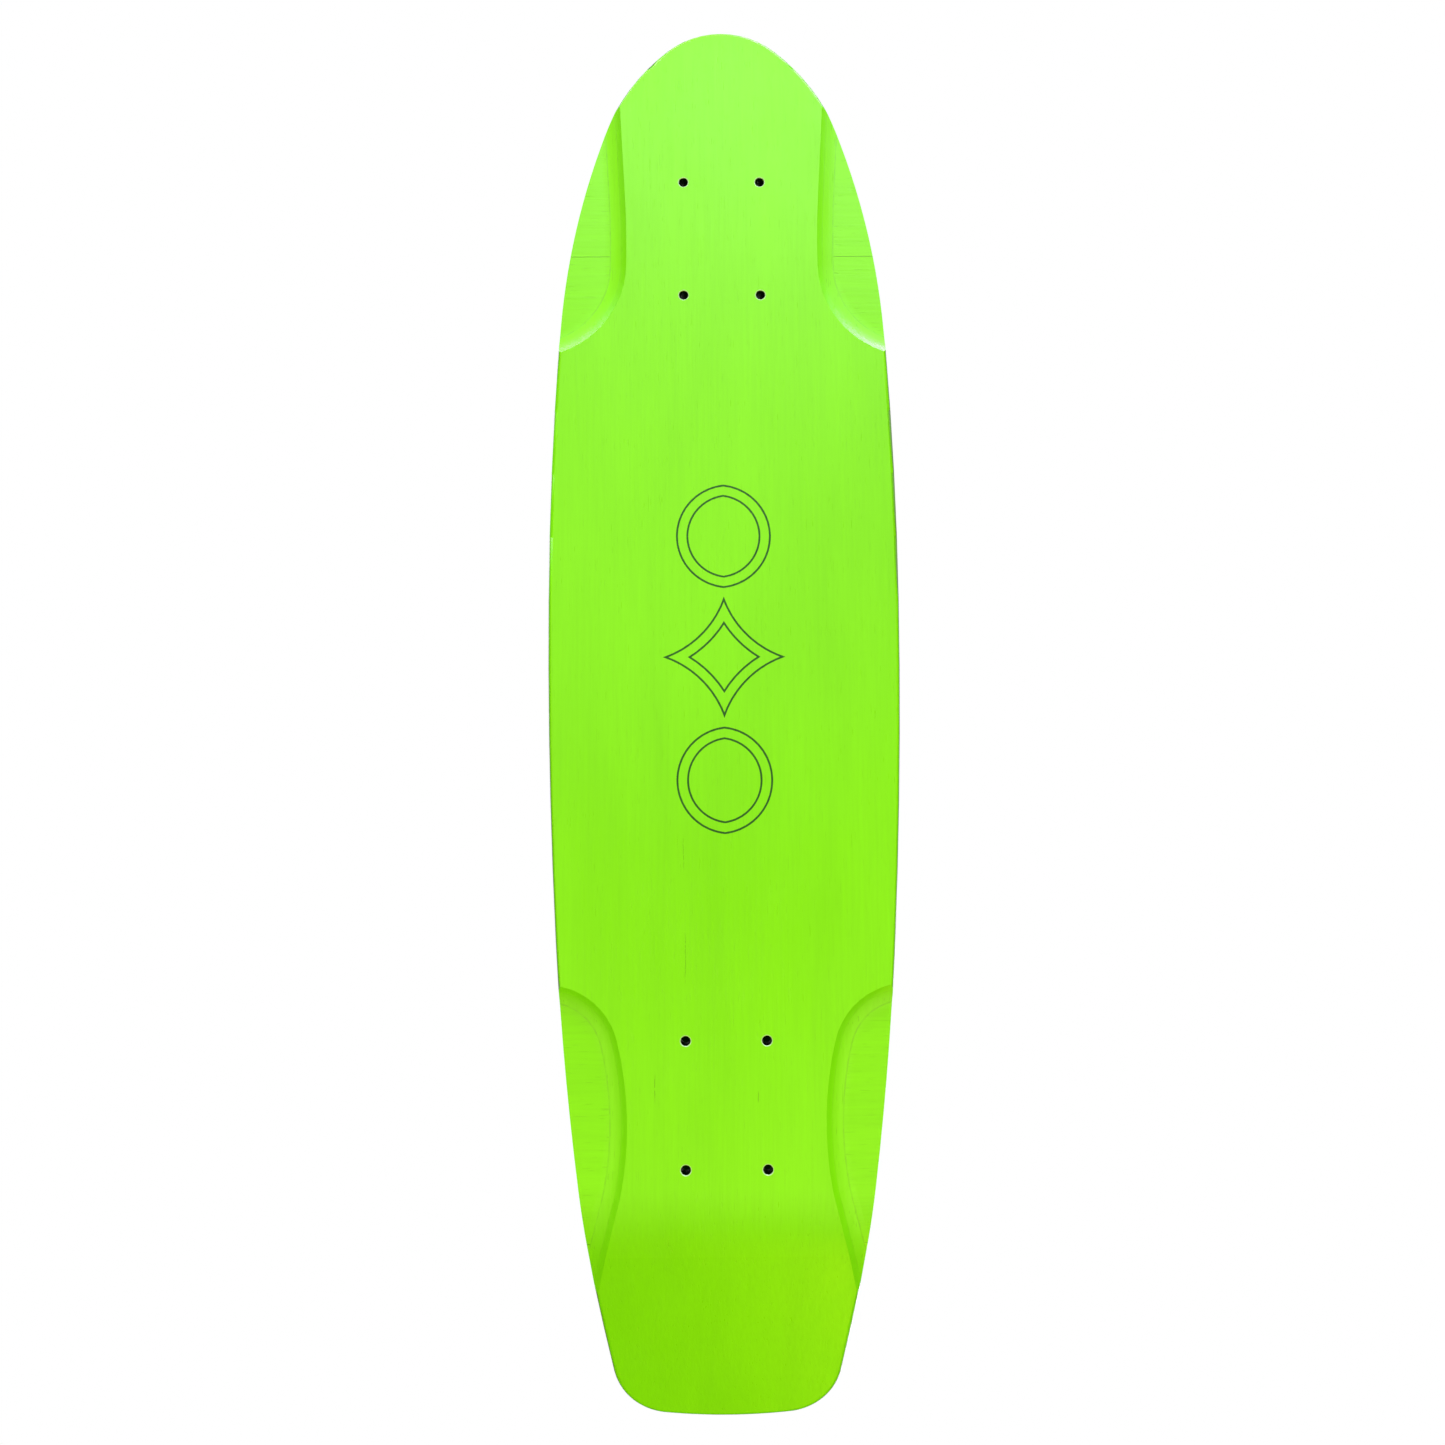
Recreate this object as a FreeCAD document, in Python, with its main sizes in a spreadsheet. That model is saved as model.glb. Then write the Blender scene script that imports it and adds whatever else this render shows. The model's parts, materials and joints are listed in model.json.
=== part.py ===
import FreeCAD, Part
import math
import os

import Sketcher
from FreeCAD import Vector

# A bare skateboard deck: seven maple veneers and the glue between them, pressed with a kicked tail, then cut
# to outline, rounded along the rim, routed for the wheels and drilled for the trucks.
# Millimetres. X runs across, +Y points to the nose, +Z goes up through the riding face, and the flat part of
# the underside lies at Z 0. The origin is the middle of the deck's plan.

doc = FreeCAD.newDocument("deck")
sheet = doc.addObject("Spreadsheet::Sheet", "Sizes")

drivingSizes = [
    ("deck_length", 738.7, "nose tip to tail end, in plan"),
    ("deck_width", 184, "at the widest station"),
    ("nose_length", 86.2, "front outer bolt row to the nose tip"),
    ("tail_length", 133, "rear outer bolt row to the tail end, in plan"),
    ("widest_ahead", 30, "widest station, ahead of the middle of the wheelbase"),
    ("nose_side_turn", 3.9, "degrees the rail turns ahead of the widest station"),
    ("nose_taper_turn", 15.8, "degrees it turns where it draws in to the nose"),
    ("nose_shoulder_back", 59.4, "nose tip to the shoulder, where the taper ends"),
    ("nose_shoulder_width", 127.95, "the deck's width there"),
    ("nose_tip_radius", 46.5, "round of the nose"),
    ("tail_side_turn", 3.3, "degrees the rail turns behind the widest station"),
    ("tail_taper_turn", 8, "degrees it turns where it draws in to the tail"),
    ("tail_shoulder_back", 25.77, "tail end to its shoulder"),
    ("tail_shoulder_inset", 33.42, "how far the rail has drawn in there, from the widest"),
    ("tail_end_radius", 290, "blunt end of the tail"),
    ("veneer", 1.45, "thickness of each of the seven veneers"),
    ("glue_film", 0.1, "cured glue between two veneers"),
    ("cross_sheet", 258.4, "width of the sheets that a cross-grain ply is laid from"),
    ("cross_seam_gap", 0.2, "open joint between two sheets"),
    ("lower_seam_shift", -15.7, "middle seam of the lower cross-grain ply, from the deck's middle"),
    ("upper_seam_shift", 25, "middle seam of the upper cross-grain ply"),
    ("kick_start", 10, "rear outer bolt row to the start of the bend"),
    ("kick_radius", 110, "bend of the underside"),
    ("kick_angle", 18, "degrees, the tail over the flat"),
    ("rim_round", 2, "rounding along both edges of the rim"),
    ("panel_margin", 20, "pressed panel beyond the outline, trimmed away"),
    ("bolt_across", 41.275, "truck bolt pattern, across the deck"),
    ("bolt_along", 63.5, "truck bolt pattern, along the deck"),
    ("bolt_hole", 4.76, "diameter"),
    ("hole_break", 0.4, "chamfer round each hole"),
    ("well_depth", 3.25, "wheel well floor over the underside"),
    ("cove_radius", 23, "cove between a well's floor and the underside"),
    ("nose_well_inset", 51.4, "centreline to the nose well, where it comes nearest"),
    ("nose_well_ahead", 26, "that nearest place, ahead of the front inner bolt row"),
    ("nose_well_belly", 540, "radius of the inner side"),
    ("nose_well_flare", 3.2, "degrees, inner side opening towards the nose"),
    ("nose_well_lead", 1, "degrees, inner side before the corner"),
    ("nose_well_corner", 52, "radius of the corner"),
    ("tail_well_inset", 50.2, "centreline to the tail well, where it comes nearest"),
    ("tail_well_behind", 42.5, "that nearest place, behind the rear inner bolt row"),
    ("tail_well_belly", 177.5, "radius of the inner side"),
    ("tail_well_flare", 12, "degrees, inner side opening towards the tail"),
    ("tail_well_lead", 13.8, "degrees, inner side before the corner"),
    ("tail_well_corner", 37.4, "radius of the corner"),
    ("emblem_length", 184, "mark on the underside, along the deck"),
    ("emblem_width", 64, "the mark's star, point to point across"),
    ("emblem_hollow", 48, "how far out the star's hollow sides are centred, each way"),
    ("emblem_leaf", 50, "width of the mark's leaves"),
    ("emblem_line", 1, "width of the mark's lines"),
    ("emblem_gap", 4.5, "between a figure's outer and inner line"),
    ("emblem_depth", 0.35, "depth of the lines in the bottom veneer"),
]
for row, (alias, size, note) in enumerate(drivingSizes, start=1):
    sheet.set(f"A{row}", alias)
    sheet.set(f"B{row}", str(size))
    sheet.setAlias(f"B{row}", alias)
    sheet.set(f"C{row}", note)
doc.recompute()

# Places worked out from the driving sizes
thickness = "(7 * Sizes.veneer + 6 * Sizes.glue_film)"
noseTip = "(Sizes.deck_length / 2)"
frontOuterRow = f"({noseTip} - Sizes.nose_length)"
frontInnerRow = f"({frontOuterRow} - Sizes.bolt_along)"
rearOuterRow = f"(-{noseTip} + Sizes.tail_length)"
rearInnerRow = f"({rearOuterRow} + Sizes.bolt_along)"
widest = f"(({frontInnerRow} + {rearInnerRow}) / 2 + Sizes.widest_ahead)"
kickStart = f"({rearOuterRow} - Sizes.kick_start)"
coveReach = "sqrt(2 * Sizes.cove_radius * Sizes.well_depth - Sizes.well_depth ^ 2)"
wallSetback = f"(Sizes.cove_radius - {coveReach})"


def value(expression):
    return float(sheet.evalExpression(expression))


def unit(degrees):
    return Vector(math.cos(math.radians(degrees)), math.sin(math.radians(degrees)))


def newSketch(body, name, role):
    sketch = body.newObject("Sketcher::SketchObject", name)
    plane = next(p for p in body.Origin.OriginFeatures if p.Role == role)
    sketch.AttachmentSupport = (plane, [""])
    sketch.MapMode = "FlatFace"
    return sketch


def addArc(sketch, centre, radius, low, high):
    circle = Part.Circle(centre, Vector(0, 0, 1), radius)
    return sketch.addGeometry(Part.ArcOfCircle(circle, math.radians(low), math.radians(high)), False)


def addLine(sketch, first, last):
    return sketch.addGeometry(Part.LineSegment(first, last), False)


def link(sketch, kind, *places):
    sketch.addConstraint(Sketcher.Constraint(kind, *places))


def bind(sketch, kind, *places, to):
    # a dimension tied to the sheet
    size = value(to)
    if kind == "Angle":
        size = math.radians(size)
        to = f"({to}) * 1 deg"
    index = sketch.addConstraint(Sketcher.Constraint(kind, *places, size))
    sketch.setExpression(f"Constraints[{index}]", to)


def bindPoint(sketch, geometry, position, x, y):
    bind(sketch, "DistanceX", -1, 1, geometry, position, to=x)
    bind(sketch, "DistanceY", -1, 1, geometry, position, to=y)


def padBothWays(body, sketch, name, length):
    pad = body.newObject("PartDesign::Pad", name)
    pad.Profile = sketch
    pad.SideType = "Symmetric"
    pad.setExpression("Length", length)
    return pad


# ---- the pressed panel: flat, then bent up behind the rear bolts

def level(place):
    # height over the underside, square to it, also on the bend and on the ramp
    radius = value("Sizes.kick_radius")
    angle = value("Sizes.kick_angle")
    centre = Vector(0, value(kickStart), radius)
    arm = place - centre
    if arm.y >= 0:
        return place.z
    if math.degrees(math.atan2(-arm.y, -arm.z)) <= angle:
        return radius - math.hypot(arm.y, arm.z)
    down = unit(angle)
    return radius + arm.y * down.y + arm.z * down.x


def bentSheet(name, low, high):
    # the panel between two levels over the underside
    body = doc.addObject("PartDesign::Body", name)
    sketch = newSketch(body, f"{name}_profile", "YZ_Plane")
    angle = value("Sizes.kick_angle")
    bend = Vector(value(kickStart), value("Sizes.kick_radius"))
    front = f"({noseTip} + Sizes.panel_margin)"
    rampLength = "(Sizes.tail_length + Sizes.panel_margin)"
    along = unit(180 - angle) * value(rampLength)
    flats, arcs, ramps = [], [], []
    for height in (low, high):
        radius = value(f"Sizes.kick_radius - {height}")
        arcs.append(addArc(sketch, bend, radius, 270 - angle, 270))
        foot = bend + unit(270) * radius
        head = bend + unit(270 - angle) * radius
        flats.append(addLine(sketch, Vector(value(front), foot.y), foot))
        ramps.append(addLine(sketch, head, head + along))
    points = [sketch.Geometry[line] for line in flats + ramps]
    frontLine = addLine(sketch, points[0].StartPoint, points[1].StartPoint)
    endLine = addLine(sketch, points[2].EndPoint, points[3].EndPoint)
    for side, height in enumerate((low, high)):
        link(sketch, "Tangent", flats[side], 2, arcs[side], 2)
        link(sketch, "Tangent", arcs[side], 1, ramps[side], 1)
        link(sketch, "Coincident", frontLine, side + 1, flats[side], 1)
        link(sketch, "Coincident", endLine, side + 1, ramps[side], 2)
        link(sketch, "Horizontal", flats[side])
        bind(sketch, "Radius", arcs[side], to=f"Sizes.kick_radius - {height}")
        bind(sketch, "Angle", arcs[side], to="Sizes.kick_angle")
    link(sketch, "Coincident", arcs[0], 3, arcs[1], 3)
    link(sketch, "Vertical", frontLine)
    link(sketch, "Perpendicular", endLine, ramps[0])
    bindPoint(sketch, arcs[0], 3, kickStart, "Sizes.kick_radius")
    bind(sketch, "DistanceX", -1, 1, flats[0], 1, to=front)
    bind(sketch, "Distance", ramps[0], to=rampLength)
    padBothWays(body, sketch, f"{name}_pad", "Sizes.deck_width + 2 * Sizes.panel_margin")
    return body


# ---- the outline in plan

def shoulder(end):
    # where the taper hands over to the corner, as expressions for X and Y
    if end == "nose":
        return "(Sizes.nose_shoulder_width / 2)", f"({noseTip} - Sizes.nose_shoulder_back)"
    return "(Sizes.deck_width / 2 - Sizes.tail_shoulder_inset)", f"(Sizes.tail_shoulder_back - {noseTip})"


def railRadii(turns, inward, along):
    # radii of two tangent arcs that turn by these angles and together run so far inward and along
    first, both = math.radians(turns[0]), math.radians(sum(turns))
    sideIn, sideAlong = 1 - math.cos(first), math.sin(first)
    taperIn, taperAlong = math.cos(first) - math.cos(both), math.sin(both) - math.sin(first)
    share = sideAlong * taperIn - sideIn * taperAlong
    return (along * taperIn - inward * taperAlong) / share, (inward * sideAlong - along * sideIn) / share


def outlineEnd(end, sign, endRadius):
    # four tangent arcs from the widest station to one end: the side and the taper reach the shoulder by their
    # turns, and the corner meets the taper and the round of the end; the tail is worked out facing the nose
    place = Vector(value("Sizes.deck_width / 2"), sign * value(widest))
    x, y = shoulder(end)
    reach = Vector(value(x), sign * value(y)) - place
    turns = [value(f"Sizes.{end}_{part}_turn") for part in ("side", "taper")]
    arcs = []
    turned = 0
    for radius, turn in zip(railRadii(turns, -reach.x, reach.y), turns):
        centre = place - unit(turned) * radius
        arcs.append((centre, radius, turned, turned + turn))
        turned += turn
        place = centre + unit(turned) * radius
    endCentre = Vector(0, value(noseTip) - endRadius)
    outward = unit(turned)
    chord = place - endCentre
    corner = (endRadius ** 2 - chord.dot(chord)) / (2 * (endRadius - outward.dot(chord)))
    cornerCentre = place - outward * corner
    meeting = (cornerCentre - endCentre) * math.copysign(1, endRadius - corner)
    contact = math.degrees(math.atan2(meeting.y, meeting.x))
    arcs.append((cornerCentre, corner, turned, contact))
    arcs.append((endCentre, endRadius, contact, 90))
    return [(Vector(c.x, sign * c.y), r, *sorted((sign * a, sign * b))) for c, r, a, b in arcs]


def outlinePrism():
    body = doc.addObject("PartDesign::Body", "outline")
    sketch = newSketch(body, "outline_half", "XY_Plane")
    endRadii = {"tail": "Sizes.tail_end_radius", "nose": "Sizes.nose_tip_radius"}
    ends = {}
    for (end, radius), sign in zip(endRadii.items(), (-1, 1)):
        ends[end] = [addArc(sketch, *arc) for arc in outlineEnd(end, sign, value(radius))]
    run = ends["tail"][::-1] + ends["nose"]
    for first, second in zip(run, run[1:]):
        link(sketch, "Tangent", first, 2, second, 1)
    tip, blunt = ends["nose"][-1], ends["tail"][-1]
    middle = addLine(sketch, Vector(0, value(noseTip)), Vector(0, -value(noseTip)))
    link(sketch, "Coincident", middle, 1, tip, 2)
    link(sketch, "Coincident", middle, 2, blunt, 1)
    for place in ((middle, 1), (middle, 2), (tip, 3), (blunt, 3)):
        link(sketch, "PointOnObject", *place, -2)
    bind(sketch, "DistanceY", -1, 1, middle, 1, to=noseTip)
    bind(sketch, "DistanceY", -1, 1, middle, 2, to=f"-{noseTip}")
    side = ends["nose"][0]
    bindPoint(sketch, side, 1, "Sizes.deck_width / 2", widest)
    bind(sketch, "DistanceY", -1, 1, side, 3, to=widest)
    for end, radius in endRadii.items():
        for arc, part in zip(ends[end], ("side", "taper")):
            bind(sketch, "Angle", arc, to=f"Sizes.{end}_{part}_turn")
        bindPoint(sketch, ends[end][1], 2 if end == "nose" else 1, *shoulder(end))
        bind(sketch, "Radius", ends[end][-1], to=radius)
    pad = padBothWays(body, sketch, "outline_pad", "2 * Sizes.tail_length")
    mirrored = body.newObject("PartDesign::Mirrored", "outline_mirrored")
    mirrored.Originals = [pad]
    plane = next(p for p in body.Origin.OriginFeatures if p.Role == "YZ_Plane")
    mirrored.MirrorPlane = (plane, [""])
    body.Tip = mirrored
    return body


# ---- booleans and edge work

def combine(kind, name, base, tool):
    result = doc.addObject(f"Part::{kind}", name)
    result.Base = base
    result.Tool = tool
    return result


def worked(name, base, feature, size, to, choose):
    # a body that takes over a shape and rounds or bevels the edges that choose() picks
    body = doc.addObject("PartDesign::Body", name)
    body.BaseFeature = base
    doc.recompute()
    start = body.Group[0]
    edges = [f"Edge{n}" for n, edge in enumerate(start.Shape.Edges, start=1) if choose(edge)]
    edgeWork = body.newObject(f"PartDesign::{feature}", f"{name}_{feature.lower()}")
    edgeWork.Base = (start, edges)
    edgeWork.setExpression(size, to)
    doc.recompute()
    return body


def liesAt(edge, height):
    return all(abs(level(place) - height) < 1e-4 for place in edge.discretize(5))


def runsAcross(edge):
    box = edge.BoundBox
    return box.YLength < 1e-4 and box.ZLength < 1e-4


# ---- wheel wells

def wellPlan(name, sign, middle):
    # plan of one well's cutter on the +X side, behind the cove: inner side, corner, and out over the rail
    body = doc.addObject("PartDesign::Body", f"{name}_plan")
    sketch = newSketch(body, f"{name}_plan_sketch", "XY_Plane")
    flare, lead = value(f"Sizes.{name}_flare"), value(f"Sizes.{name}_lead")
    bellyRadius = f"Sizes.{name}_belly + {wallSetback}"
    cornerRadius = f"Sizes.{name}_corner + {wallSetback}"
    bellyX = f"Sizes.{name}_inset + Sizes.{name}_belly"
    belly = Vector(value(bellyX), value(middle))
    leadWay = Vector(-math.cos(math.radians(lead)), -sign * math.sin(math.radians(lead)))
    corner = belly + leadWay * value(f"Sizes.{name}_belly - Sizes.{name}_corner")
    turns = sorted((180 - sign * flare, 180 + sign * lead))
    bellyArc = addArc(sketch, belly, value(bellyRadius), *turns)
    turns = sorted((180 + sign * lead, 180 + sign * 90))
    cornerArc = addArc(sketch, corner, value(cornerRadius), *turns)
    near, far = (1, 2) if sign > 0 else (2, 1)
    flareWay = Vector(-math.cos(math.radians(flare)), sign * math.sin(math.radians(flare)))
    flareStart = belly + flareWay * value(bellyRadius)
    limit = f"{sign} * ({noseTip} + Sizes.panel_margin)"
    rise = value(limit) - flareStart.y
    flareEnd = Vector(flareStart.x + abs(rise) * math.tan(math.radians(flare)), value(limit))
    outside = value("Sizes.deck_width")
    exitPoint = corner - Vector(0, sign * value(cornerRadius))
    flareLine = addLine(sketch, flareEnd, flareStart)
    exitLine = addLine(sketch, exitPoint, Vector(outside, exitPoint.y))
    outerLine = addLine(sketch, Vector(outside, exitPoint.y), Vector(outside, flareEnd.y))
    limitLine = addLine(sketch, Vector(outside, flareEnd.y), flareEnd)
    link(sketch, "Tangent", flareLine, 2, bellyArc, near)
    link(sketch, "Tangent", bellyArc, far, cornerArc, near)
    link(sketch, "Tangent", cornerArc, far, exitLine, 1)
    link(sketch, "Coincident", exitLine, 2, outerLine, 1)
    link(sketch, "Coincident", outerLine, 2, limitLine, 1)
    link(sketch, "Coincident", limitLine, 2, flareLine, 1)
    link(sketch, "Horizontal", exitLine)
    link(sketch, "Vertical", outerLine)
    link(sketch, "Horizontal", limitLine)
    bindPoint(sketch, bellyArc, 3, bellyX, middle)
    bind(sketch, "Radius", bellyArc, to=bellyRadius)
    bind(sketch, "Radius", cornerArc, to=cornerRadius)
    bind(sketch, "Angle", bellyArc, to=f"Sizes.{name}_flare + Sizes.{name}_lead")
    bindPoint(sketch, outerLine, 2, "Sizes.deck_width", limit)
    padBothWays(body, sketch, f"{name}_plan_pad", "2 * Sizes.tail_length")
    innerSide = [sketch.Geometry[each].toShape() for each in (flareLine, bellyArc, cornerArc, exitLine)]
    return body, Part.makeCompound(innerSide)


def wellCutters():
    floor = bentSheet("well_floor", "(-Sizes.cove_radius - Sizes.panel_margin)", "Sizes.well_depth")
    cutters = []
    places = (
        ("nose_well", 1, f"({frontInnerRow} + Sizes.nose_well_ahead)"),
        ("tail_well", -1, f"({rearInnerRow} - Sizes.tail_well_behind)"),
    )
    for name, sign, middle in places:
        plan, innerSide = wellPlan(name, sign, middle)
        block = combine("Common", f"{name}_block", plan, floor)

        def footOfWall(edge):
            feet = [Part.Vertex(place.x, place.y, 0) for place in edge.discretize(5)]
            onWall = all(innerSide.distToShape(foot)[0] < 1e-3 for foot in feet)
            return onWall and liesAt(edge, value("Sizes.well_depth"))

        cutter = worked(name, block, "Fillet", "Radius", "Sizes.cove_radius", footOfWall)
        other = doc.addObject("Part::Mirroring", f"{name}_other_side")
        other.Source = cutter
        other.Normal = Vector(1, 0, 0)
        cutters += [cutter, other]
    wells = doc.addObject("Part::MultiFuse", "wheel_wells")
    wells.Shapes = cutters
    return wells


# ---- truck bolt holes

def boltHoles():
    body = doc.addObject("PartDesign::Body", "bolt_holes")
    sketch = newSketch(body, "bolt_hole_sketch", "XY_Plane")
    radius = value("Sizes.bolt_hole / 2")
    for row in (frontOuterRow, frontInnerRow, rearInnerRow, rearOuterRow):
        for x in ("-Sizes.bolt_across / 2", "Sizes.bolt_across / 2"):
            centre = Vector(value(x), value(row))
            hole = sketch.addGeometry(Part.Circle(centre, Vector(0, 0, 1), radius), False)
            bindPoint(sketch, hole, 3, x, row)
            bind(sketch, "Radius", hole, to="Sizes.bolt_hole / 2")
    padBothWays(body, sketch, "bolt_hole_pad", "2 * Sizes.tail_length")
    return body


# ---- the mark: a star between two leaves, each a double line made of arcs

def ring(name, arcs, radii):
    # one line of the mark; arcs are (centre x, centre y, angles), and each radius gives one edge of the line
    body = doc.addObject("PartDesign::Body", name)
    sketch = newSketch(body, f"{name}_sketch", "XY_Plane")
    for radius in radii:
        loop = []
        for x, y, (low, high) in arcs(value(radius)):
            arc = addArc(sketch, Vector(value(x), value(y)), value(radius), low, high)
            bindPoint(sketch, arc, 3, x, y)
            bind(sketch, "Radius", arc, to=radius)
            loop.append(arc)
        for first, second in zip(loop, loop[1:] + loop[:1]):
            link(sketch, "Coincident", first, 2, second, 1)
    pad = body.newObject("PartDesign::Pad", f"{name}_pad")
    pad.Profile = sketch
    pad.setExpression("Length", "Sizes.emblem_depth")
    return body


def emblem():
    middle = f"(({frontInnerRow} + {rearInnerRow}) / 2)"
    reach = "(Sizes.emblem_width / 2)"
    lines = []

    # four hollow sides, drawn about points out on the diagonals
    out = "Sizes.emblem_hollow"
    sideRadius = f"sqrt(({out} - {reach}) ^ 2 + {out} ^ 2)"

    def starArcs(radius):
        half = math.degrees(math.acos(value(out) / radius))
        arcs = []
        spread = 45 - half
        for quarter, (x, y) in enumerate(((1, 1), (1, -1), (-1, -1), (-1, 1))):
            back = 225 - 90 * quarter
            arcs.append((f"{x} * {out}", f"{middle} + {y} * {out}", (back - spread, back + spread)))
        return arcs

    # two bulging sides, drawn about points across the leaf
    leafHalf = f"((Sizes.emblem_length / 2 - {reach} - Sizes.emblem_gap) / 2)"
    bulge = "(Sizes.emblem_leaf / 2)"
    leafRadius = f"(({leafHalf} ^ 2 + {bulge} ^ 2) / (2 * {bulge}))"
    across = f"({leafRadius} - {bulge})"

    def leafArcs(place):
        def arcs(radius):
            half = math.degrees(math.acos(value(across) / radius))
            return [(f"-{across}", place, (-half, half)), (across, place, (180 - half, 180 + half))]
        return arcs

    figures = [("star", starArcs, sideRadius, "+")]
    for end, sign in (("nose", "+"), ("tail", "-")):
        place = f"({middle} {sign} (Sizes.emblem_length / 2 - {leafHalf}))"
        figures.append((f"{end}_leaf", leafArcs(place), leafRadius, "-"))
    for figure, arcs, radius, inward in figures:
        for line, inset in (("outer", "0"), ("inner", "(Sizes.emblem_line + Sizes.emblem_gap)")):
            edges = [f"({radius} {inward} ({inset} + {width}))" for width in ("0", "Sizes.emblem_line")]
            lines.append(ring(f"emblem_{figure}_{line}", arcs, edges))
    mark = doc.addObject("Part::MultiFuse", "emblem_line_fill")
    mark.Shapes = lines
    return mark


# ---- the finished deck, as one shape that its pieces are taken from

panel = bentSheet("pressed_panel", "0", thickness)
trimmed = combine("Common", "trimmed_panel", panel, outlinePrism())


def onRim(edge):
    return (liesAt(edge, 0) or liesAt(edge, value(thickness))) and not runsAcross(edge)


def onHole(edge):
    bore = value("Sizes.bolt_hole / 2")
    if not isinstance(edge.Curve, Part.Circle) or abs(edge.Curve.Radius - bore) > 1e-6:
        return False
    return liesAt(edge, 0) or liesAt(edge, value(thickness))


rounded = worked("rounded_deck", trimmed, "Fillet", "Radius", "Sizes.rim_round", onRim)
routed = combine("Cut", "routed_deck", rounded, wellCutters())
drilled = combine("Cut", "drilled_deck", routed, boltHoles())
finished = worked("finished_deck", drilled, "Chamfer", "Size", "Sizes.hole_break", onHole)

# ---- the pieces

pieces = {}
pitch = "(Sizes.veneer + Sizes.glue_film)"
plies = (
    "bottom_face_veneer", "lower_inner_veneer", "lower_cross", "core_veneer", "upper_cross",
    "upper_inner_veneer", "top_face_veneer",
)


def keep(name, feature):
    feature.Label = name
    pieces[name] = feature


def layer(name, low, high):
    return combine("Common", f"{name}_layer", finished, bentSheet(f"{name}_sheet", low, high))


def crossSheets(ply, whole, shift):
    # sheets laid side by side, their middle seam shifted from the deck's middle
    limit = f"({noseTip} + Sizes.panel_margin)"
    gap = "Sizes.cross_seam_gap / 2"
    seams = [f"({shift} + {step} * Sizes.cross_sheet)" for step in (-1, 0, 1)]
    lows = [f"-{limit}"] + [f"({seam} + {gap})" for seam in seams]
    highs = [f"({seam} - {gap})" for seam in seams] + [limit]
    for end, low, high in zip(("tail", "rear", "front", "nose"), lows, highs):
        block = doc.addObject("Part::Box", f"{ply}_{end}_block")
        block.setExpression("Length", "Sizes.deck_width + 2 * Sizes.panel_margin")
        block.setExpression("Width", f"{high} - {low}")
        block.setExpression("Height", "2 * Sizes.tail_length")
        block.setExpression("Placement.Base.x", "-Sizes.deck_width / 2 - Sizes.panel_margin")
        block.setExpression("Placement.Base.y", low)
        block.setExpression("Placement.Base.z", "-Sizes.tail_length")
        keep(f"{ply}_{end}", combine("Common", f"{ply}_{end}", whole, block))


mark = emblem()
for number, ply in enumerate(plies):
    low = f"({number} * {pitch})"
    whole = layer(ply, low, f"({low} + Sizes.veneer)")
    if ply.endswith("cross"):
        crossSheets(ply, whole, f"Sizes.{ply.split('_')[0]}_seam_shift")
    elif number == 0:
        keep(ply, combine("Cut", ply, whole, mark))
    else:
        keep(ply, whole)
    if number > 0:
        line = f"glue_line_{number}"
        keep(line, layer(line, f"({low} - Sizes.glue_film)", low))
keep("emblem_line_fill", mark)
doc.recompute()

# ---- checks and files

broken = [f"{each.Name}: {each.State}" for each in doc.Objects if {"Invalid", "Error"} & set(each.State)]
if broken:
    raise RuntimeError(f"failed features: {broken}")
for name, feature in pieces.items():
    shape = feature.Shape
    if shape.isNull() or not shape.isValid() or not shape.Solids:
        raise RuntimeError(f"{name} has no valid solid")

os.makedirs("parts", exist_ok=True)
for name, feature in pieces.items():
    feature.Shape.exportStep(f"parts/{name}.step")
    print(f"{name}: {len(feature.Shape.Solids)} solids, {feature.Shape.Volume / 1000:.2f} cm3")
print(f"whole deck {finished.Shape.Volume / 1000:.2f} cm3")
print(f"wheelbase between the inner bolt rows {value(frontInnerRow) - value(rearInnerRow):.2f}")
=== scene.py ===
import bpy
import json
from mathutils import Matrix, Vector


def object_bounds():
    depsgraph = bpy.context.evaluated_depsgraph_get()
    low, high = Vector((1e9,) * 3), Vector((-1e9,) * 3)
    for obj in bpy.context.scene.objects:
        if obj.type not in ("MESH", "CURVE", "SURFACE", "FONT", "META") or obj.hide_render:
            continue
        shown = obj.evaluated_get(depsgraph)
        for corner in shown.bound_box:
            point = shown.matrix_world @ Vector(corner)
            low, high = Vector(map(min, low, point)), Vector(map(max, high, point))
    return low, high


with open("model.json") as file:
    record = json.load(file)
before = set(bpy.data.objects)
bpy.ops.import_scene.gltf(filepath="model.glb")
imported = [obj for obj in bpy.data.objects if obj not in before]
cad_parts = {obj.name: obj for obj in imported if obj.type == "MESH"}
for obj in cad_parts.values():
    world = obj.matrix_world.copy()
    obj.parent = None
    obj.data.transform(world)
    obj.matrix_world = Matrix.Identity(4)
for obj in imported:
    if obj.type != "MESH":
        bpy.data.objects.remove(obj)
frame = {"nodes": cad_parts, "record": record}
cadBox = [list(corner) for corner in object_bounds()]

import json
import math

import bmesh
import bpy
from mathutils import Euler, Vector

# A bare maple deck, stained bright green under a satin lacquer. The underside lies at Z 0 and faces the
# camera, the riding face is up, and +Y is the nose.

low, high = (Vector(corner) for corner in cadBox)
deckLength = high.y - low.y
deckMiddle = (low + high) / 2
mounts = {mount["name"]: mount for mount in frame["record"]["mounts"]}
frontTruck, rearTruck = (Vector(mounts[f"{end}_truck_bolts"]["pos_m"]) for end in ("front", "rear"))
ridingFace = mounts["riding_face"]["pos_m"][2]
boltPattern = mounts["front_truck_bolts"]["dims"]
print(f"frame loaded: {len(frame['nodes'])} nodes, deck {deckLength:.4f} m long")


# helpers for shader nodes

def addNode(tree, kind, **settings):
    node = tree.nodes.new(kind)
    for name, setting in settings.items():
        setattr(node, name, setting)
    return node


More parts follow.
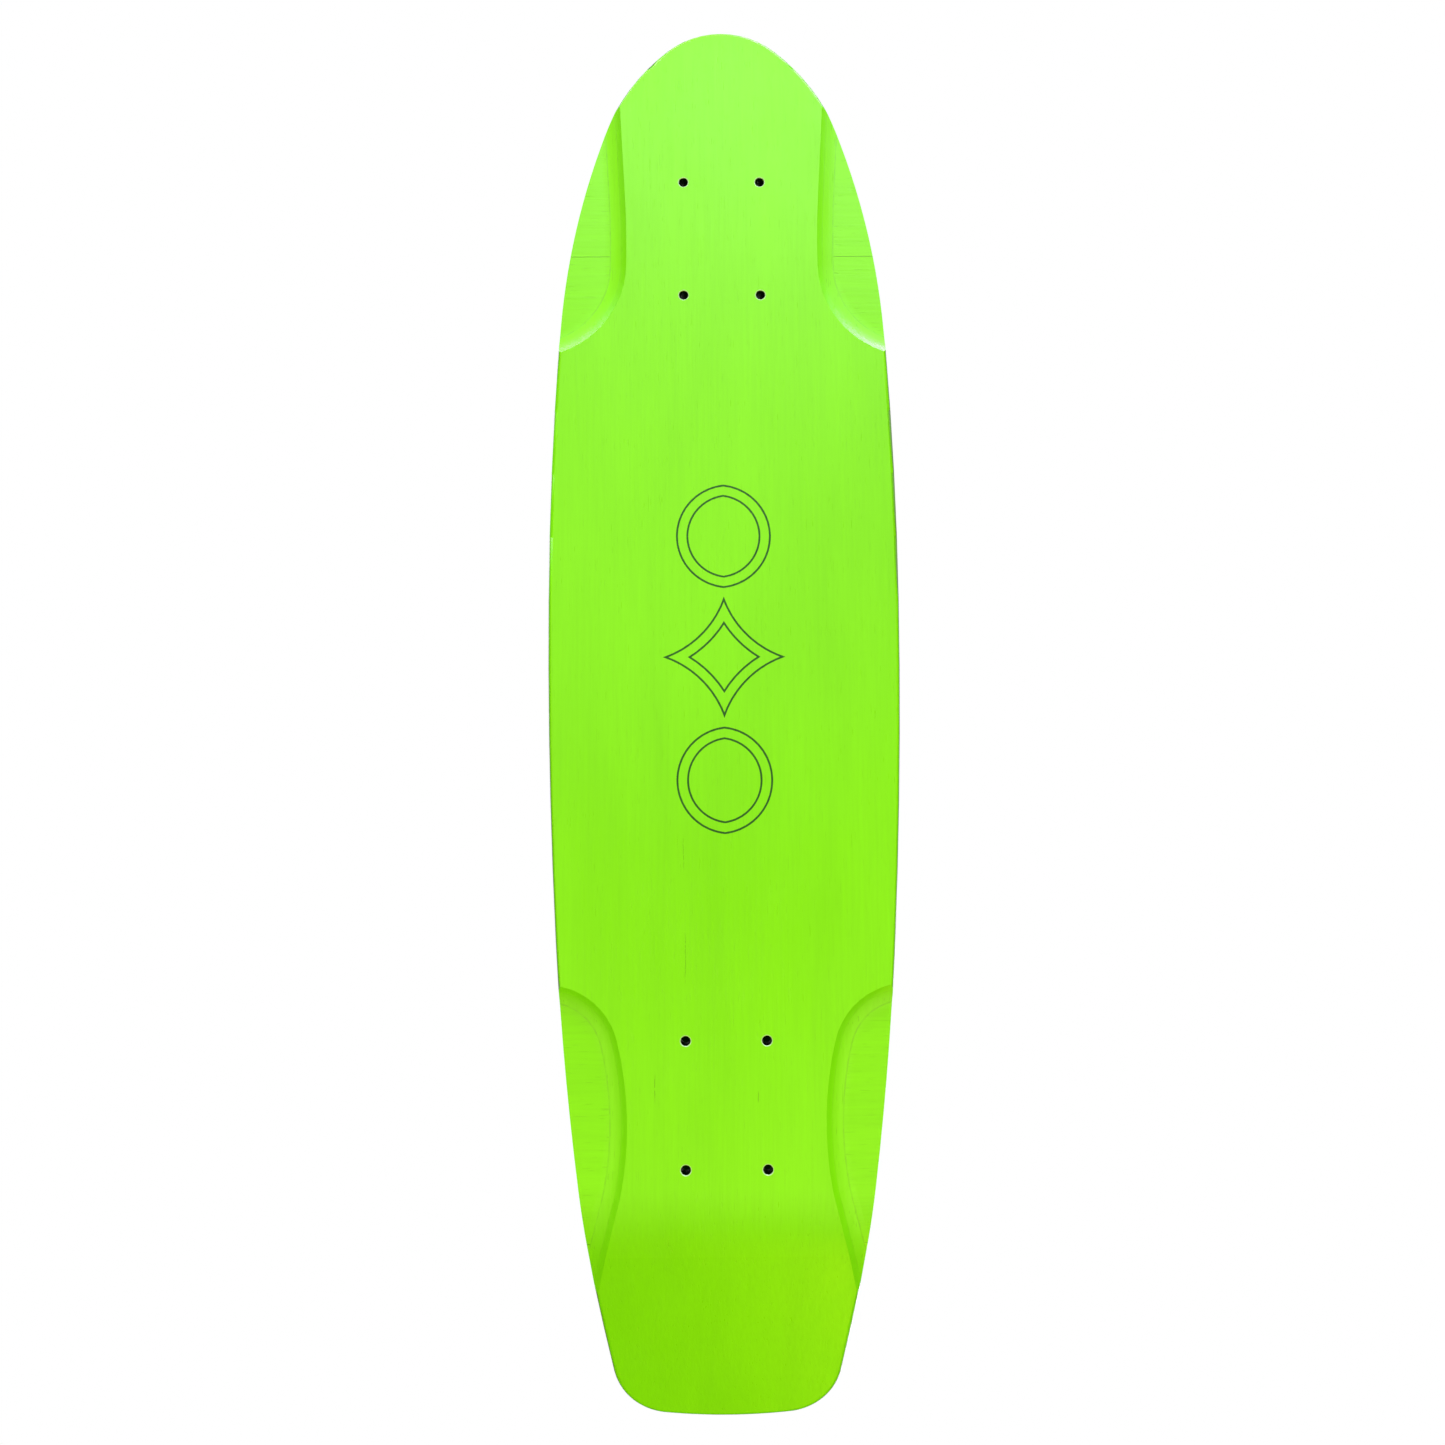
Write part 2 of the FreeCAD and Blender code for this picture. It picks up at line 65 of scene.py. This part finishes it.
def feed(tree, node, **inputs):
    # an input takes a number, a colour or a node's output; a space in a socket's name is written as _
    for name, source in inputs.items():
        socket = node.inputs[name.replace("_", " ")]
        if isinstance(source, bpy.types.NodeSocket):
            tree.links.new(source, socket)
        else:
            socket.default_value = source
    return node


def arithmetic(tree, operation, *terms, clamp=False):
    node = addNode(tree, "ShaderNodeMath", operation=operation, use_clamp=clamp)
    for socket, term in zip(node.inputs, terms):
        if isinstance(term, bpy.types.NodeSocket):
            tree.links.new(term, socket)
        else:
            socket.default_value = term
    return node.outputs[0]


def ramp(tree, source, start, end, first=0.0, last=1.0):
    # a smooth step of a value, from first at start to last at end
    node = addNode(tree, "ShaderNodeMapRange", interpolation_type="SMOOTHSTEP")
    feed(tree, node, Value=source, From_Min=start, From_Max=end, To_Min=first, To_Max=last)
    return node.outputs["Result"]


def blendColours(tree, share, first, second, how="MIX"):
    node = addNode(tree, "ShaderNodeMix", data_type="RGBA", blend_type=how)
    for index, source in ((0, share), (6, first), (7, second)):
        if isinstance(source, bpy.types.NodeSocket):
            tree.links.new(source, node.inputs[index])
        else:
            node.inputs[index].default_value = source
    return node.outputs[2]


def stretched(tree, coordinates, scale):
    node = addNode(tree, "ShaderNodeMapping", vector_type="POINT")
    return feed(tree, node, Vector=coordinates, Scale=scale).outputs[0]


def noise(tree, coordinates, scale, detail=3.0, roughness=0.55, distortion=0.0):
    node = addNode(tree, "ShaderNodeTexNoise")
    feed(tree, node, Vector=coordinates, Scale=scale)
    feed(tree, node, Detail=detail, Roughness=roughness, Distortion=distortion)
    return node.outputs["Fac"]


def weighted(tree, start, shares):
    # a starting number, and a share of each mask on top
    total = start
    for mask, share in shares:
        total = arithmetic(tree, "MULTIPLY_ADD", mask, share, total)
    return arithmetic(tree, "ADD", total, 0, clamp=True)


def splitAxes(tree, vector):
    parts = addNode(tree, "ShaderNodeSeparateXYZ")
    tree.links.new(vector, parts.inputs[0])
    return parts.outputs


def newGroup(name, inputs, outputs):
    tree = bpy.data.node_groups.new(name, "ShaderNodeTree")
    for socket, kind in inputs.items():
        tree.interface.new_socket(socket, in_out="INPUT", socket_type=f"NodeSocket{kind}")
    for socket, kind in outputs.items():
        tree.interface.new_socket(socket, in_out="OUTPUT", socket_type=f"NodeSocket{kind}")
    return tree, tree.nodes.new("NodeGroupInput"), tree.nodes.new("NodeGroupOutput")


def useGroup(tree, group, **inputs):
    node = addNode(tree, "ShaderNodeGroup", node_tree=group)
    return feed(tree, node, **inputs)


# effects that several materials share

grain = {
    "fibre": 620,  # fibres per metre across the grain
    "fibreStretch": 0.035,
    "figure": 46,
    "figureStretch": 0.11,
    "patch": 9.5,
    "patchStretch": 0.45,
    "pore": 1500,
    "poreStretch": 0.06,
    "poreShare": (0.66, 0.74),
    "poreSink": 0.6,
}


def makeGrain():
    # grain along the second axis: Soak is how much stain the wood drew in, Height its raised fibres
    inputs = {"Coordinates": "Vector"} | dict.fromkeys(("Fibre", "Figure", "Patch", "Pore"), "Float")
    outputs = dict.fromkeys(("Soak", "Height", "Pore Mask"), "Float")
    tree, given, made = newGroup("veneer grain", inputs, outputs)
    place = given.outputs["Coordinates"]

    def layer(which, **settings):
        along = stretched(tree, place, (1, grain[f"{which}Stretch"], 1))
        return noise(tree, along, grain[which], **settings)

    fibre = layer("fibre", detail=4, roughness=0.62)
    figure = layer("figure", detail=3, distortion=0.7)
    patch = layer("patch", detail=2.5)
    pore = ramp(tree, layer("pore", detail=1), *grain["poreShare"])
    total = arithmetic(tree, "MULTIPLY_ADD", pore, given.outputs["Pore"], 0.5)
    for name, field in (("Fibre", fibre), ("Figure", figure), ("Patch", patch)):
        swing = arithmetic(tree, "SUBTRACT", field, 0.5)
        total = arithmetic(tree, "MULTIPLY_ADD", swing, given.outputs[name], total)
    soak = arithmetic(tree, "ADD", total, 0, clamp=True)
    height = arithmetic(tree, "MULTIPLY_ADD", pore, -grain["poreSink"], fibre)
    feed(tree, made, Soak=soak, Height=height, Pore_Mask=pore)
    return tree


handling = {
    "smear": 17,  # smears per metre
    "smearShare": (0.35, 0.75),
    "rub": 900,  # hairline rubs per metre across their run
    "rubShare": (0.68, 0.8),
    "rubTurn": 11,  # degrees
    "rubStretch": 0.02,
}


def makeHandling():
    # faint smears and hairline rubs in the lacquer
    outputs = {"Smear": "Float", "Rub": "Float"}
    tree, given, made = newGroup("lacquer handling", {"Coordinates": "Vector"}, outputs)
    place = given.outputs["Coordinates"]
    smear = noise(tree, place, handling["smear"], detail=4, roughness=0.6, distortion=1.2)
    turned = addNode(tree, "ShaderNodeMapping")
    turn = (0, 0, math.radians(handling["rubTurn"]))
    feed(tree, turned, Vector=place, Rotation=turn, Scale=(1, handling["rubStretch"], 1))
    rub = noise(tree, turned.outputs[0], handling["rub"], detail=2)
    feed(tree, made, Smear=ramp(tree, smear, *handling["smearShare"]))
    feed(tree, made, Rub=ramp(tree, rub, *handling["rubShare"]))
    return tree


# each pair is where an effect starts and where it is full
edge = {
    "cut": (0.02, 0.12),  # lean of the surface, 0 lying flat and 1 upright
    "rim": (0.2, 0.5),
    "ragged": 0.08,  # swing of the lean at which the rim starts
    "raggedScale": 140,
    "towardsNose": (0.0, 0.35),  # how far the surface faces along Y
}


def makeEdges():
    # Cut is 1 on the coves, where the router went through the fibres, and Rim 1 where the surface turns
    # on edge; Towards Nose is 1 where it faces that way. On the veneers Cut lays painted shade on the coves,
    # along with a deeper soak, and Rim and Towards Nose a painted shade on the rounded edge, darkest facing
    # the nose
    outputs = dict.fromkeys(("Cut", "Rim", "Towards Nose"), "Float")
    tree, given, made = newGroup("worked edges", {"Coordinates": "Vector"}, outputs)
    facing = splitAxes(tree, addNode(tree, "ShaderNodeNewGeometry").outputs["Normal"])
    lean = arithmetic(tree, "SUBTRACT", 1, arithmetic(tree, "ABSOLUTE", facing["Z"]))
    ragged = noise(tree, given.outputs["Coordinates"], edge["raggedScale"], detail=3)
    ragged = arithmetic(tree, "SUBTRACT", ragged, 0.5)
    raggedLean = arithmetic(tree, "MULTIPLY_ADD", ragged, edge["ragged"], lean)
    towardsNose = ramp(tree, facing["Y"], *edge["towardsNose"])
    feed(tree, made, Cut=ramp(tree, lean, *edge["cut"]), Rim=ramp(tree, raggedLean, *edge["rim"]))
    feed(tree, made, Towards_Nose=towardsNose)
    return tree


checkLine = {
    "wander": 0.0012,  # metres from side to side
    "wanderScale": 120,
    "core": 0.2,  # share of the width before it starts to fade
    "taper": 0.3,  # share of the length before it starts to thin out
    "breakScale": 420,
    "breakShare": (0.3, 0.5),
}


def makeCheck():
    # one fine drying check along the grain, drawn about a place given in metres
    inputs = {"Coordinates": "Vector"} | dict.fromkeys(("Across", "Along", "Length", "Width"), "Float")
    tree, given, made = newGroup("drying check", inputs, {"Mask": "Float"})
    place = given.outputs["Coordinates"]
    here = splitAxes(tree, place)
    wander = arithmetic(tree, "SUBTRACT", noise(tree, place, checkLine["wanderScale"], detail=2), 0.5)
    across = arithmetic(tree, "SUBTRACT", here["X"], given.outputs["Across"])
    across = arithmetic(tree, "MULTIPLY_ADD", wander, checkLine["wander"], across)
    fromLine = arithmetic(tree, "DIVIDE", arithmetic(tree, "ABSOLUTE", across), given.outputs["Width"])
    along = arithmetic(tree, "ABSOLUTE", arithmetic(tree, "SUBTRACT", here["Y"], given.outputs["Along"]))
    fromMiddle = arithmetic(tree, "DIVIDE", arithmetic(tree, "MULTIPLY", along, 2), given.outputs["Length"])
    line = ramp(tree, fromLine, checkLine["core"], 1, 1, 0)
    line = arithmetic(tree, "MULTIPLY", line, ramp(tree, fromMiddle, checkLine["taper"], 1, 1, 0))
    broken = ramp(tree, noise(tree, place, checkLine["breakScale"], detail=2), *checkLine["breakShare"])
    feed(tree, made, Mask=arithmetic(tree, "MULTIPLY", line, broken))
    return tree


bolts = {
    "halfAcross": boltPattern["spacing_x_mm"] / 2000,
    "halfAlong": boltPattern["spacing_y_mm"] / 2000,
    "radius": boltPattern["hole_r_mm"] / 1000,
    "wall": 0.0002,  # the painted shade of the hole fades out this far beyond its radius
    "ring": (0.0004, 0.0007),  # and the painted highlight on its broken edge over this reach beyond it
}


def makeBores():
    # by the distance from the nearest hole's centre: Mask is 1 inside the hole, for its painted shade, and
    # Ring out to its broken edge, for a painted highlight
    tree, given, made = newGroup("bolt holes", {"Coordinates": "Vector"}, {"Mask": "Float", "Ring": "Float"})
    here = splitAxes(tree, given.outputs["Coordinates"])
    across = arithmetic(tree, "SUBTRACT", arithmetic(tree, "ABSOLUTE", here["X"]), bolts["halfAcross"])
    toRows = []
    for truck in (frontTruck, rearTruck):
        fromMiddle = arithmetic(tree, "ABSOLUTE", arithmetic(tree, "SUBTRACT", here["Y"], truck.y))
        toRow = arithmetic(tree, "SUBTRACT", fromMiddle, bolts["halfAlong"])
        toRows.append(arithmetic(tree, "ABSOLUTE", toRow))
    along = arithmetic(tree, "MINIMUM", *toRows)
    squares = [arithmetic(tree, "MULTIPLY", leg, leg) for leg in (across, along)]
    distance = arithmetic(tree, "SQRT", arithmetic(tree, "ADD", *squares))
    radius = bolts["radius"]
    ringStart, ringEnd = (radius + out for out in bolts["ring"])
    feed(tree, made, Mask=ramp(tree, distance, radius, radius + bolts["wall"], 1, 0))
    feed(tree, made, Ring=ramp(tree, distance, ringStart, ringEnd, 1, 0))
    return tree


grainGroup = makeGrain()
handlingGroup = makeHandling()
edgeGroup = makeEdges()
checkGroup = makeCheck()
boreGroup = makeBores()
print("shared effects made")

# the veneers: the stain, with painted shade on coves, rim and bolt holes and a painted highlight round
# the holes, then how each kind shows its grain

stainAndPaintedLight = {
    "bright": (0.264, 0.865, 0.0, 1),
    "deep": (0.218, 0.735, 0.0, 1),
    "pore": (0.13, 0.50, 0.0, 1),
    # cove slopes: painted shade, along with the deeper soak of routed fibres
    "cut": (0.20, 0.75, 0.0, 1),
    "check": (0.15, 0.51, 0.0, 1),
    # the rounded edge: a greyed painted shade, partly edge wear, and near black where it faces the nose
    "rim": (0.28, 0.34, 0.24, 1),
    "nose rim": (0.07, 0.085, 0.06, 1),
    # painted highlight on the holes' broken edges
    "ring": (0.52, 0.80, 0.40, 1),
    # painted shade inside the bolt holes
    "bore": (0.004, 0.015, 0.002, 1),
    "fleck": (0.33, 0.36, 0.01, 1),
}

veneers = {
    "underside": {
        "nodes": ["bottom_face_veneer"],
        "turn": 0, "shift": 0.0,
        "fibre": 0.75, "figure": 0.8, "patch": 1.3, "pore": 0.12,
        "checks": True, "bump": 0.22, "roughness": 0.34,
    },
    "riding face": {
        "nodes": ["top_face_veneer"],
        "turn": 0, "shift": 3.1,
        "fibre": 0.6, "figure": 0.9, "patch": 1.1, "pore": 0.3,
        "checks": False, "bump": 0.15, "roughness": 0.36,
    },
    "inner ply": {
        "nodes": ["lower_inner_veneer", "core_veneer", "upper_inner_veneer"],
        "turn": 0, "shift": 5.7,
        "fibre": 0.8, "figure": 1.0, "patch": 0.8, "pore": 0.35,
        "checks": False, "bump": 0.2, "roughness": 0.36,
    },
    "cross ply": {
        "nodes": [name for name in frame["nodes"] if "_cross_" in name],
        "turn": 90, "shift": 8.3,
        "fibre": 0.8, "figure": 0.9, "patch": 0.8, "pore": 0.2,
        "checks": False, "bump": 0.2, "roughness": 0.36,
    },
}

# how strongly the shared effects show on every veneer; the cove and rim shares lay painted shade, along
# with a deeper soak and edge wear; the rough ones are added to its roughness
wearAndShade = {
    "cut": 0.7,
    "rim": 0.9,
    "grainRough": 0.12,
    "smearRough": 0.06,
    "rubRough": 0.1,
    "boreRough": 0.6,
    "bumpHeight": 0.0004,
}

lacquerIndex = 1.45

# olive streaks in the cross plies
streaks = {"scale": 210, "stretch": 0.12, "start": 0.7, "end": 0.78, "share": 0.25}

# drying checks in the underside, in metres: each one's middle, across and ahead of the rear truck's middle
dryingChecks = {
    "ahead of the bolts": {"across": 0.0206, "ahead": 0.0735, "length": 0.034, "width": 0.00028},
    "beside the bolts": {"across": 0.0362, "ahead": 0.0085, "length": 0.018, "width": 0.00032},
    "amidships": {"across": 0.0215, "ahead": 0.126, "length": 0.022, "width": 0.00022},
    "far side": {"across": -0.016, "ahead": 0.004, "length": 0.007, "width": 0.0003},
}


def startMaterial(name):
    material = bpy.data.materials.new(name)
    material.use_nodes = True
    tree = material.node_tree
    shader = tree.nodes["Principled BSDF"]
    coordinates = addNode(tree, "ShaderNodeTexCoord").outputs["Object"]
    return material, tree, shader, coordinates


def addBump(tree, shader, height, strength, distance):
    bump = addNode(tree, "ShaderNodeBump")
    feed(tree, bump, Strength=strength, Distance=distance, Height=height)
    feed(tree, shader, Normal=bump.outputs[0])


def shareOf(tree, mask, share):
    return arithmetic(tree, "MULTIPLY", mask, share)


def addChecks(tree, place, colour):
    for check in dryingChecks.values():
        line = useGroup(
            tree, checkGroup, Coordinates=place, Length=check["length"], Width=check["width"],
            Across=check["across"], Along=rearTruck.y + check["ahead"],
        )
        colour = blendColours(tree, line.outputs["Mask"], colour, stainAndPaintedLight["check"])
    return colour


def makeVeneer(name, facts):
    material, tree, shader, place = startMaterial(name)
    laid = addNode(tree, "ShaderNodeMapping")
    feed(tree, laid, Vector=place, Location=(0, 0, facts["shift"]))
    feed(tree, laid, Rotation=(0, 0, math.radians(facts["turn"])))
    wood = useGroup(
        tree, grainGroup, Coordinates=laid.outputs[0],
        Fibre=facts["fibre"], Figure=facts["figure"], Patch=facts["patch"], Pore=facts["pore"],
    ).outputs
    lacquer = useGroup(tree, handlingGroup, Coordinates=place).outputs
    edges = useGroup(tree, edgeGroup, Coordinates=place).outputs
    hole = useGroup(tree, boreGroup, Coordinates=place).outputs
    colour = blendColours(tree, wood["Soak"], stainAndPaintedLight["bright"], stainAndPaintedLight["deep"])
    # painted shade on the cove slopes, along with the deeper soak of routed fibres
    colour = blendColours(tree, shareOf(tree, edges["Cut"], wearAndShade["cut"]), colour, stainAndPaintedLight["cut"])
    colour = blendColours(tree, shareOf(tree, wood["Pore Mask"], facts["pore"]), colour, stainAndPaintedLight["pore"])
    if facts["turn"]:
        drawn = stretched(tree, laid.outputs[0], (1, streaks["stretch"], 1))
        streak = noise(tree, drawn, streaks["scale"], detail=2)
        shown = ramp(tree, streak, streaks["start"], streaks["end"], 0, streaks["share"])
        colour = blendColours(tree, shown, colour, stainAndPaintedLight["fleck"])
    if facts["checks"]:
        colour = addChecks(tree, place, colour)
    # painted shade on the rounded edge, greyed and darkest where it faces the nose lights; partly edge wear
    paintedRimShade = blendColours(tree, edges["Towards Nose"], stainAndPaintedLight["rim"], stainAndPaintedLight["nose rim"])
    colour = blendColours(tree, shareOf(tree, edges["Rim"], wearAndShade["rim"]), colour, paintedRimShade)
    # painted highlight on each bolt hole's broken edge
    colour = blendColours(tree, hole["Ring"], colour, stainAndPaintedLight["ring"])
    # painted shade inside the bolt holes
    colour = blendColours(tree, hole["Mask"], colour, stainAndPaintedLight["bore"])
    rough = weighted(tree, facts["roughness"] - wearAndShade["grainRough"] / 2, (
        (wood["Height"], wearAndShade["grainRough"]),
        (lacquer["Smear"], wearAndShade["smearRough"]),
        (lacquer["Rub"], wearAndShade["rubRough"]),
        (hole["Mask"], wearAndShade["boreRough"]),
    ))
    # metallic inside the bolt holes, so that their painted shade takes no diffuse light
    feed(tree, shader, Base_Color=colour, Roughness=rough, Metallic=hole["Mask"])
    shader.inputs["IOR"].default_value = lacquerIndex
    addBump(tree, shader, wood["Height"], facts["bump"], wearAndShade["bumpHeight"])
    return material


glue = {
    "line": (0.10, 0.36, 0.0, 1),  # on the deck's edge
    "routed": (0.20, 0.68, 0.0, 1),  # where a cove crosses it
    "pale": (0.225, 0.76, 0.0, 1),
    "patchScale": 240,
    "patchShare": (0.35, 0.65),
    "roughness": 0.4,
    "patchRough": 0.15,
    "bump": 0.2,
    "bumpHeight": 0.0001,
}


def makeGlue():
    material, tree, shader, place = startMaterial("glue line")
    gaps = ramp(tree, noise(tree, place, glue["patchScale"], detail=3), *glue["patchShare"])
    edges = useGroup(tree, edgeGroup, Coordinates=place).outputs
    hole = useGroup(tree, boreGroup, Coordinates=place).outputs
    colour = blendColours(tree, gaps, glue["routed"], glue["pale"])
    colour = blendColours(tree, edges["Rim"], colour, glue["line"])
    # painted shade inside the bolt holes
    colour = blendColours(tree, hole["Mask"], colour, stainAndPaintedLight["bore"])
    rough = weighted(tree, glue["roughness"], ((gaps, glue["patchRough"]),))
    feed(tree, shader, Base_Color=colour, Roughness=rough)
    addBump(tree, shader, gaps, glue["bump"], glue["bumpHeight"])
    return material


markInk = {
    "ink": (0.002, 0.07, 0.001, 1),
    "thin": (0.012, 0.14, 0.003, 1),
    "grain": {"Fibre": 1.2, "Figure": 0.6, "Patch": 0.8, "Pore": 0.6},
    "roughness": 0.5,
    "soakRough": 0.2,
    "bump": 0.25,
    "bumpHeight": 0.0003,
}


def makeMark():
    material, tree, shader, place = startMaterial("mark ink")
    wood = useGroup(tree, grainGroup, Coordinates=place, **markInk["grain"]).outputs
    colour = blendColours(tree, wood["Soak"], markInk["thin"], markInk["ink"])
    rough = weighted(tree, markInk["roughness"], ((wood["Soak"], markInk["soakRough"]),))
    feed(tree, shader, Base_Color=colour, Roughness=rough)
    addBump(tree, shader, wood["Height"], markInk["bump"], markInk["bumpHeight"])
    return material


def dress(names, material):
    for name in names:
        for slot in frame["nodes"][name].material_slots:
            slot.link = "OBJECT"
            slot.material = material


for name, facts in veneers.items():
    dress(facts["nodes"], makeVeneer(name, facts))
dress([name for name in frame["nodes"] if name.startswith("glue_line")], makeGlue())
dress(["emblem_line_fill"], makeMark())
print("veneers, glue lines and mark dressed")

# the floor, and a dark sheet over the riding face so that the bolt holes look deep

floor = {
    "drop": 0.0008,
    "reach": 12,  # deck lengths
    "fade": (0.5, 1.5),  # metres from the origin, over which it gives way to the backdrop
    "colour": (0.9, 0.9, 0.89, 1),
}
shade = {
    "lift": 0.002,
    "width": 0.09,
    "spare": 0.12,  # how much longer than the wheelbase
    "colour": (0.004, 0.012, 0.003, 1),
}
dust = {"scale": 3, "spread": (0.3, 0.7), "tone": (0.5, 0.5, 0.5, 1), "share": 0.04}


def flatSheet(name, middle, width, length):
    mesh = bpy.data.meshes.new(name)
    shape = bmesh.new()
    bmesh.ops.create_grid(shape, x_segments=1, y_segments=1, size=0.5)
    bmesh.ops.scale(shape, verts=shape.verts, vec=(width, length, 1))
    bmesh.ops.translate(shape, verts=shape.verts, vec=middle)
    shape.to_mesh(mesh)
    shape.free()
    sheet = bpy.data.objects.new(name, mesh)
    bpy.context.scene.collection.objects.link(sheet)
    return sheet


def oneSided(name, facts, seenFromBelow):
    # shows to the camera from one side only, and lets every other ray through
    material = bpy.data.materials.new(name)
    material.use_nodes = True
    tree = material.node_tree
    tree.nodes.remove(tree.nodes["Principled BSDF"])
    clear = addNode(tree, "ShaderNodeBsdfTransparent")
    solid = addNode(tree, "ShaderNodeBsdfDiffuse")
    place = addNode(tree, "ShaderNodeTexCoord").outputs["Object"]
    dusty = ramp(tree, noise(tree, place, dust["scale"], detail=4), *dust["spread"], 0, dust["share"])
    feed(tree, solid, Color=blendColours(tree, dusty, facts["colour"], dust["tone"], "MULTIPLY"))
    back = addNode(tree, "ShaderNodeNewGeometry").outputs["Backfacing"]
    side = back if seenFromBelow else arithmetic(tree, "SUBTRACT", 1, back)
    seen = arithmetic(tree, "MULTIPLY", side, addNode(tree, "ShaderNodeLightPath").outputs["Is Camera Ray"])
    if "fade" in facts:
        away = addNode(tree, "ShaderNodeVectorMath", operation="LENGTH")
        feed(tree, away, Vector=place)
        seen = arithmetic(tree, "MULTIPLY", seen, ramp(tree, away.outputs["Value"], *facts["fade"], 1, 0))
    mix = addNode(tree, "ShaderNodeMixShader")
    tree.links.new(seen, mix.inputs[0])
    tree.links.new(clear.outputs[0], mix.inputs[1])
    tree.links.new(solid.outputs[0], mix.inputs[2])
    tree.links.new(mix.outputs[0], tree.nodes["Material Output"].inputs["Surface"])
    return material


floorSide = floor["reach"] * deckLength
floorMiddle = (deckMiddle.x, deckMiddle.y, low.z - floor["drop"])
floorSheet = flatSheet("floor", floorMiddle, floorSide, floorSide)
floorSheet.data.materials.append(oneSided("studio floor", floor, seenFromBelow=False))

wheelbase = frontTruck.y - rearTruck.y
shadeMiddle = (0, (frontTruck.y + rearTruck.y) / 2, ridingFace + shade["lift"])
shadeSheet = flatSheet("shade", shadeMiddle, shade["width"], wheelbase + shade["spare"])
shadeSheet.data.materials.append(oneSided("shade behind the deck", shade, seenFromBelow=True))
print("floor and shade laid")

# the lights: bearing and dip in degrees, from the nose towards +X and under the deck's level; sizes and reach
# in deck lengths

usualReach = 2.2
daylight = (0.68, 0.74, 1)
paleSky = (0.84, 0.9, 1)
neutral = (1, 1, 1)
warm = (1, 0.98, 0.3)
yellow = (1, 0.95, 0.04)

lights = {
    "nose low right": {"bearing": -18, "dip": 13, "size": (1.0, 0.5), "power": 26, "tint": daylight},
    "nose low left": {"bearing": 20, "dip": 11, "size": (1.0, 0.45), "power": 11.5, "tint": paleSky},
    "nose high": {"bearing": -6, "dip": 47, "size": (1.6, 0.5), "power": 6.8, "tint": paleSky},
    "front": {"bearing": 0, "dip": 72, "reach": 2.4, "size": (2.0, 1.4), "power": 4},
    "left side": {"bearing": 90, "dip": 55, "size": (2.0, 1.0), "power": 4.3, "tint": warm},
    "tail left": {"bearing": 140, "dip": 56, "size": (1.1, 1.1), "power": 5.3, "tint": warm},
    "tail right": {"bearing": -142, "dip": 54, "size": (1.1, 1.1), "power": 8.6, "tint": warm},
    "tail glint": {"bearing": -166, "dip": 27, "size": (0.4, 0.4), "power": 4, "tint": yellow},
    "overhead key": {"bearing": -130, "dip": -52, "reach": 3.2, "size": (1.6, 1.6), "power": 40},
    "overhead fill": {"bearing": 50, "dip": -45, "reach": 3.2, "size": (2.4, 2.4), "power": 30},
}


def addLight(name, facts):
    lamp = bpy.data.lights.new(name, "AREA")
    lamp.shape = "RECTANGLE"
    lamp.size, lamp.size_y = (side * deckLength for side in facts["size"])
    lamp.energy = facts["power"]
    lamp.color = facts.get("tint", neutral)
    holder = bpy.data.objects.new(name, lamp)
    bpy.context.scene.collection.objects.link(holder)
    bearing, dip = math.radians(facts["bearing"]), math.radians(facts["dip"])
    way = Vector((math.cos(dip) * math.sin(bearing), math.cos(dip) * math.cos(bearing), -math.sin(dip)))
    holder.location = way * facts.get("reach", usualReach) * deckLength
    holder.rotation_euler = (-way).to_track_quat("-Z", "Y").to_euler()
    holder.visible_camera = False


for name, facts in lights.items():
    addLight(name, facts)

room = {"backdrop": 1.0, "ambient": 0.03}
world = bpy.data.worlds.new("pale room")
world.use_nodes = True
bpy.context.scene.world = world
tree = world.node_tree
background = tree.nodes["Background"]
background.inputs["Color"].default_value = (1, 1, 1, 1)
toCamera = addNode(tree, "ShaderNodeLightPath").outputs["Is Camera Ray"]
strength = arithmetic(tree, "MULTIPLY_ADD", toCamera, room["backdrop"] - room["ambient"], room["ambient"])
feed(tree, background, Strength=strength)
bpy.context.scene.view_settings.view_transform = "Standard"
print("lights set")

# the camera, under the deck and square to it but for a slight tilt

camera = {
    "aside": 0.00486, "behind": 0.06921, "below": 0.62005,  # metres from the middle of the underside
    "turn": (-174.629, 0.3233, -179.680),
    "lens": 29.9, "sensor": 36,
    "nearest": 0.01,
}
lens = bpy.data.cameras.new("camera")
lens.lens = camera["lens"]
lens.sensor_width = camera["sensor"]
lens.clip_start = camera["nearest"]
viewer = bpy.data.objects.new("camera", lens)
bpy.context.scene.collection.objects.link(viewer)
viewer.location = (deckMiddle.x + camera["aside"], deckMiddle.y - camera["behind"], low.z - camera["below"])
viewer.rotation_euler = Euler([math.radians(angle) for angle in camera["turn"]])
bpy.context.scene.camera = viewer
print("camera placed")
